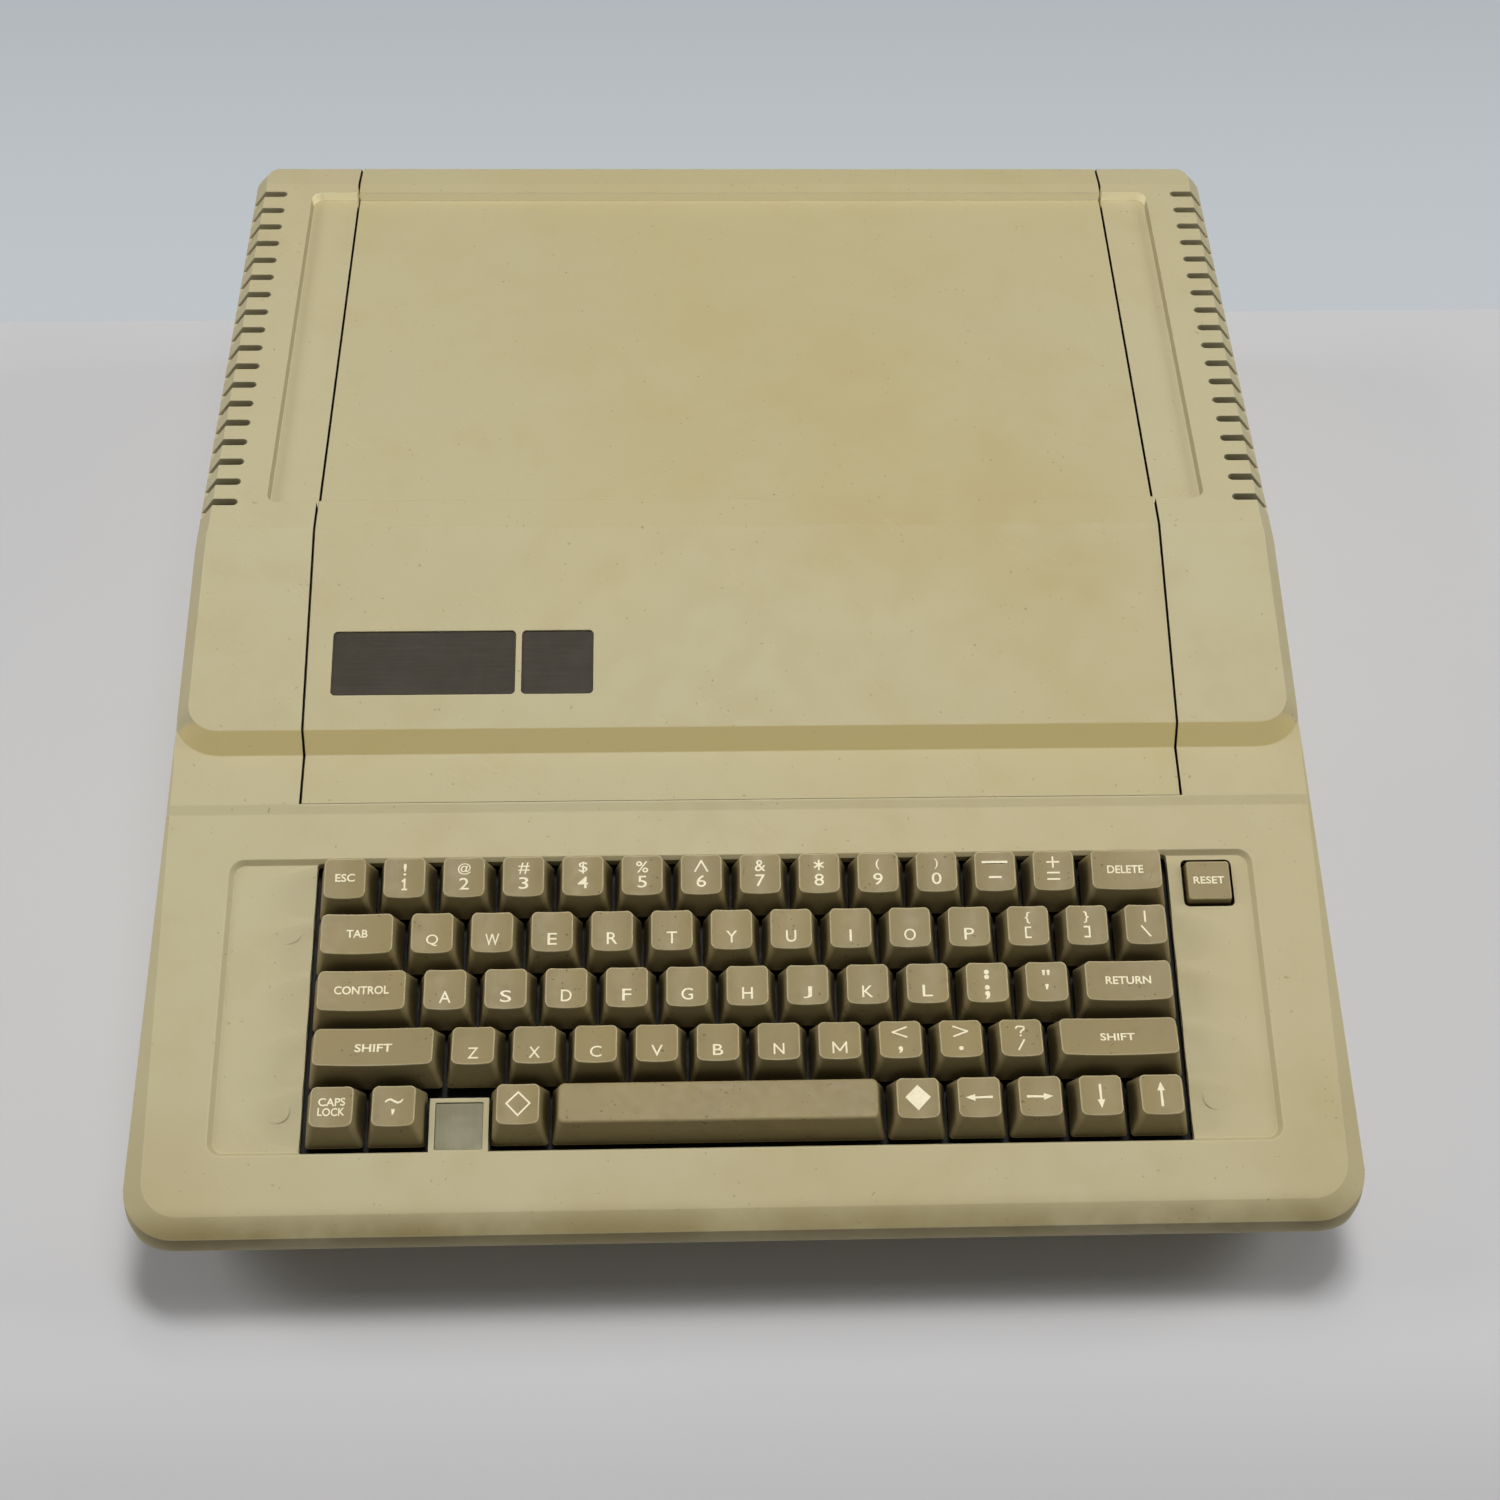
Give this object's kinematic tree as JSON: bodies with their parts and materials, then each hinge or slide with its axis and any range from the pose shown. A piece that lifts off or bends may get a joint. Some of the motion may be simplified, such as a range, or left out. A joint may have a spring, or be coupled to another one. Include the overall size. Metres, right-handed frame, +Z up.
{
  "type": "home computer with built-in keyboard",
  "caption": "Wedge-shaped beige home computer: built-in sprung keyboard on a sloping deck, lift-off lid, side vents, boards and power supply inside.",
  "frame": {"origin": "centre of the bounding box in plan, on the surface that the feet stand on", "axes": "+X to the typist's right, +Y to the back of the case, +Z up"},
  "size_m": [0.386, 0.45, 0.114],
  "materials": {
    "case_plastic": "fine textured, aged beige",
    "lid_plastic": "fine textured, aged and slightly yellowed beige",
    "key_plastic": "satin taupe",
    "dark_plastic": "satin black",
    "badge_plastic": "satin dark brown",
    "lens_plastic": "frosted grey green",
    "lamp_glass": "clear",
    "painted_steel": "fine textured beige paint",
    "dark_steel": "matt black paint",
    "steel": "zinc plated",
    "spring_steel": "plain",
    "speaker_steel": "black cone and frame",
    "bare_aluminium": "pale gold chromate",
    "board": "green solder resist",
    "cable_plastic": "satin grey",
    "foot_rubber": "matt black"
  },
  "bodies": {
    "case": {"top_case": "case_plastic", "base_plate": "painted_steel", "back_panel": "painted_steel", "port_covers": "dark_plastic", "rubber_feet": "foot_rubber", "screws": "steel", "catch_clips": "spring_steel", "lamp_lens": "lens_plastic", "lamp": "lamp_glass", "keyboard_plate": "dark_steel", "keyboard_board": "board", "key_switches": "dark_plastic", "keyboard_cable": "cable_plastic", "main_board": "board", "board_standoffs": "steel", "expansion_slots": "dark_plastic", "chips": "dark_plastic", "rear_sockets": "dark_plastic", "power_supply_case": "bare_aluminium", "power_supply_board": "board", "power_supply_components": "dark_plastic", "power_inlet": "dark_plastic", "power_switch_frame": "dark_plastic", "power_lead": "cable_plastic", "speaker": "speaker_steel", "speaker_lead": "cable_plastic"},
    "lid_assembly": {"lid": "lid_plastic", "lid_catches": "steel", "badge_plate_large": "badge_plastic", "badge_plate_small": "badge_plastic"},
    "power_rocker": {"power_switch": "dark_plastic"},
    "key_caps_lock_body": {"key_caps_lock": "key_plastic"},
    "key_grave_body": {"key_grave": "key_plastic"},
    "key_open_lozenge_body": {"key_open_lozenge": "key_plastic"},
    "key_space_body": {"key_space": "key_plastic"},
    "key_solid_lozenge_body": {"key_solid_lozenge": "key_plastic"},
    "key_arrow_left_body": {"key_arrow_left": "key_plastic"},
    "key_arrow_right_body": {"key_arrow_right": "key_plastic"},
    "key_arrow_down_body": {"key_arrow_down": "key_plastic"},
    "key_arrow_up_body": {"key_arrow_up": "key_plastic"},
    "key_shift_left_body": {"key_shift_left": "key_plastic"},
    "keys_1_q_a_z_body": {"keys_1_q_a_z": "key_plastic"},
    "keys_2_w_s_x_body": {"keys_2_w_s_x": "key_plastic"},
    "keys_3_e_d_c_body": {"keys_3_e_d_c": "key_plastic"},
    "keys_4_r_f_v_body": {"keys_4_r_f_v": "key_plastic"},
    "keys_5_t_g_b_body": {"keys_5_t_g_b": "key_plastic"},
    "keys_6_y_h_n_body": {"keys_6_y_h_n": "key_plastic"},
    "keys_7_u_j_m_body": {"keys_7_u_j_m": "key_plastic"},
    "keys_8_i_k_comma_body": {"keys_8_i_k_comma": "key_plastic"},
    "keys_9_o_l_period_body": {"keys_9_o_l_period": "key_plastic"},
    "keys_0_p_semicolon_slash_body": {"keys_0_p_semicolon_slash": "key_plastic"},
    "key_shift_right_body": {"key_shift_right": "key_plastic"},
    "key_control_body": {"key_control": "key_plastic"},
    "keys_hyphen_bracket_quote_body": {"keys_hyphen_bracket_quote": "key_plastic"},
    "key_return_body": {"key_return": "key_plastic"},
    "key_tab_body": {"key_tab": "key_plastic"},
    "keys_equals_bracket_backslash_body": {"keys_equals_bracket_backslash": "key_plastic"},
    "key_escape_body": {"key_escape": "key_plastic"},
    "key_delete_body": {"key_delete": "key_plastic"},
    "key_reset_body": {"key_reset": "key_plastic"}
  },
  "joints": [
    {"name": "lid_lift", "type": "slide", "parent": "case", "child": "lid_assembly", "axis": [0, 0, 1], "range_m": [0, 0.06]},
    {"name": "power_rocker_tilt", "type": "hinge", "parent": "case", "child": "power_rocker", "pos_m": [-0.116, 0.2045, 0.042], "axis": [-1, 0, 0], "range_deg": [0, 16]},
    {"name": "key_caps_lock_travel", "type": "slide", "parent": "case", "child": "key_caps_lock_body", "axis": [0, 0.2283, -0.9736], "range_m": [0, 0.003], "stiffness_N_per_m": 150, "springref_m": -0.003},
    {"name": "key_grave_travel", "type": "slide", "parent": "case", "child": "key_grave_body", "axis": [0, 0.2283, -0.9736], "range_m": [0, 0.0038], "stiffness_N_per_m": 150, "springref_m": -0.003},
    {"name": "key_open_lozenge_travel", "type": "slide", "parent": "case", "child": "key_open_lozenge_body", "axis": [0, 0.2283, -0.9736], "range_m": [0, 0.0038], "stiffness_N_per_m": 150, "springref_m": -0.003},
    {"name": "key_space_travel", "type": "slide", "parent": "case", "child": "key_space_body", "axis": [0, 0.2283, -0.9736], "range_m": [0, 0.0038], "stiffness_N_per_m": 150, "springref_m": -0.003},
    {"name": "key_solid_lozenge_travel", "type": "slide", "parent": "case", "child": "key_solid_lozenge_body", "axis": [0, 0.2283, -0.9736], "range_m": [0, 0.0038], "stiffness_N_per_m": 150, "springref_m": -0.003},
    {"name": "key_arrow_left_travel", "type": "slide", "parent": "case", "child": "key_arrow_left_body", "axis": [0, 0.2283, -0.9736], "range_m": [0, 0.0038], "stiffness_N_per_m": 150, "springref_m": -0.003},
    {"name": "key_arrow_right_travel", "type": "slide", "parent": "case", "child": "key_arrow_right_body", "axis": [0, 0.2283, -0.9736], "range_m": [0, 0.0038], "stiffness_N_per_m": 150, "springref_m": -0.003},
    {"name": "key_arrow_down_travel", "type": "slide", "parent": "case", "child": "key_arrow_down_body", "axis": [0, 0.2283, -0.9736], "range_m": [0, 0.0038], "stiffness_N_per_m": 150, "springref_m": -0.003},
    {"name": "key_arrow_up_travel", "type": "slide", "parent": "case", "child": "key_arrow_up_body", "axis": [0, 0.2283, -0.9736], "range_m": [0, 0.0038], "stiffness_N_per_m": 150, "springref_m": -0.003},
    {"name": "key_shift_left_travel", "type": "slide", "parent": "case", "child": "key_shift_left_body", "axis": [0, 0.2283, -0.9736], "range_m": [0, 0.0038], "stiffness_N_per_m": 150, "springref_m": -0.003},
    {"name": "keys_1_q_a_z_travel", "type": "slide", "parent": "case", "child": "keys_1_q_a_z_body", "axis": [0, 0.2283, -0.9736], "range_m": [0, 0.0038], "stiffness_N_per_m": 600, "springref_m": -0.003},
    {"name": "keys_2_w_s_x_travel", "type": "slide", "parent": "case", "child": "keys_2_w_s_x_body", "axis": [0, 0.2283, -0.9736], "range_m": [0, 0.0038], "stiffness_N_per_m": 600, "springref_m": -0.003},
    {"name": "keys_3_e_d_c_travel", "type": "slide", "parent": "case", "child": "keys_3_e_d_c_body", "axis": [0, 0.2283, -0.9736], "range_m": [0, 0.0038], "stiffness_N_per_m": 600, "springref_m": -0.003},
    {"name": "keys_4_r_f_v_travel", "type": "slide", "parent": "case", "child": "keys_4_r_f_v_body", "axis": [0, 0.2283, -0.9736], "range_m": [0, 0.0038], "stiffness_N_per_m": 600, "springref_m": -0.003},
    {"name": "keys_5_t_g_b_travel", "type": "slide", "parent": "case", "child": "keys_5_t_g_b_body", "axis": [0, 0.2283, -0.9736], "range_m": [0, 0.0038], "stiffness_N_per_m": 600, "springref_m": -0.003},
    {"name": "keys_6_y_h_n_travel", "type": "slide", "parent": "case", "child": "keys_6_y_h_n_body", "axis": [0, 0.2283, -0.9736], "range_m": [0, 0.0038], "stiffness_N_per_m": 600, "springref_m": -0.003},
    {"name": "keys_7_u_j_m_travel", "type": "slide", "parent": "case", "child": "keys_7_u_j_m_body", "axis": [0, 0.2283, -0.9736], "range_m": [0, 0.0038], "stiffness_N_per_m": 600, "springref_m": -0.003},
    {"name": "keys_8_i_k_comma_travel", "type": "slide", "parent": "case", "child": "keys_8_i_k_comma_body", "axis": [0, 0.2283, -0.9736], "range_m": [0, 0.0038], "stiffness_N_per_m": 600, "springref_m": -0.003},
    {"name": "keys_9_o_l_period_travel", "type": "slide", "parent": "case", "child": "keys_9_o_l_period_body", "axis": [0, 0.2283, -0.9736], "range_m": [0, 0.0038], "stiffness_N_per_m": 600, "springref_m": -0.003},
    {"name": "keys_0_p_semicolon_slash_travel", "type": "slide", "parent": "case", "child": "keys_0_p_semicolon_slash_body", "axis": [0, 0.2283, -0.9736], "range_m": [0, 0.0038], "stiffness_N_per_m": 600, "springref_m": -0.003},
    {"name": "key_shift_right_travel", "type": "slide", "parent": "case", "child": "key_shift_right_body", "axis": [0, 0.2283, -0.9736], "range_m": [0, 0.0038], "stiffness_N_per_m": 150, "springref_m": -0.003},
    {"name": "key_control_travel", "type": "slide", "parent": "case", "child": "key_control_body", "axis": [0, 0.2283, -0.9736], "range_m": [0, 0.0038], "stiffness_N_per_m": 150, "springref_m": -0.003},
    {"name": "keys_hyphen_bracket_quote_travel", "type": "slide", "parent": "case", "child": "keys_hyphen_bracket_quote_body", "axis": [0, 0.2283, -0.9736], "range_m": [0, 0.0038], "stiffness_N_per_m": 450, "springref_m": -0.003},
    {"name": "key_return_travel", "type": "slide", "parent": "case", "child": "key_return_body", "axis": [0, 0.2283, -0.9736], "range_m": [0, 0.0038], "stiffness_N_per_m": 150, "springref_m": -0.003},
    {"name": "key_tab_travel", "type": "slide", "parent": "case", "child": "key_tab_body", "axis": [0, 0.2283, -0.9736], "range_m": [0, 0.0038], "stiffness_N_per_m": 150, "springref_m": -0.003},
    {"name": "keys_equals_bracket_backslash_travel", "type": "slide", "parent": "case", "child": "keys_equals_bracket_backslash_body", "axis": [0, 0.2283, -0.9736], "range_m": [0, 0.0038], "stiffness_N_per_m": 450, "springref_m": -0.003},
    {"name": "key_escape_travel", "type": "slide", "parent": "case", "child": "key_escape_body", "axis": [0, 0.2283, -0.9736], "range_m": [0, 0.0038], "stiffness_N_per_m": 150, "springref_m": -0.003},
    {"name": "key_delete_travel", "type": "slide", "parent": "case", "child": "key_delete_body", "axis": [0, 0.2283, -0.9736], "range_m": [0, 0.0038], "stiffness_N_per_m": 150, "springref_m": -0.003},
    {"name": "key_reset_travel", "type": "slide", "parent": "case", "child": "key_reset_body", "axis": [0, 0.2283, -0.9736], "range_m": [0, 0.003], "stiffness_N_per_m": 150, "springref_m": -0.003}
  ]
}
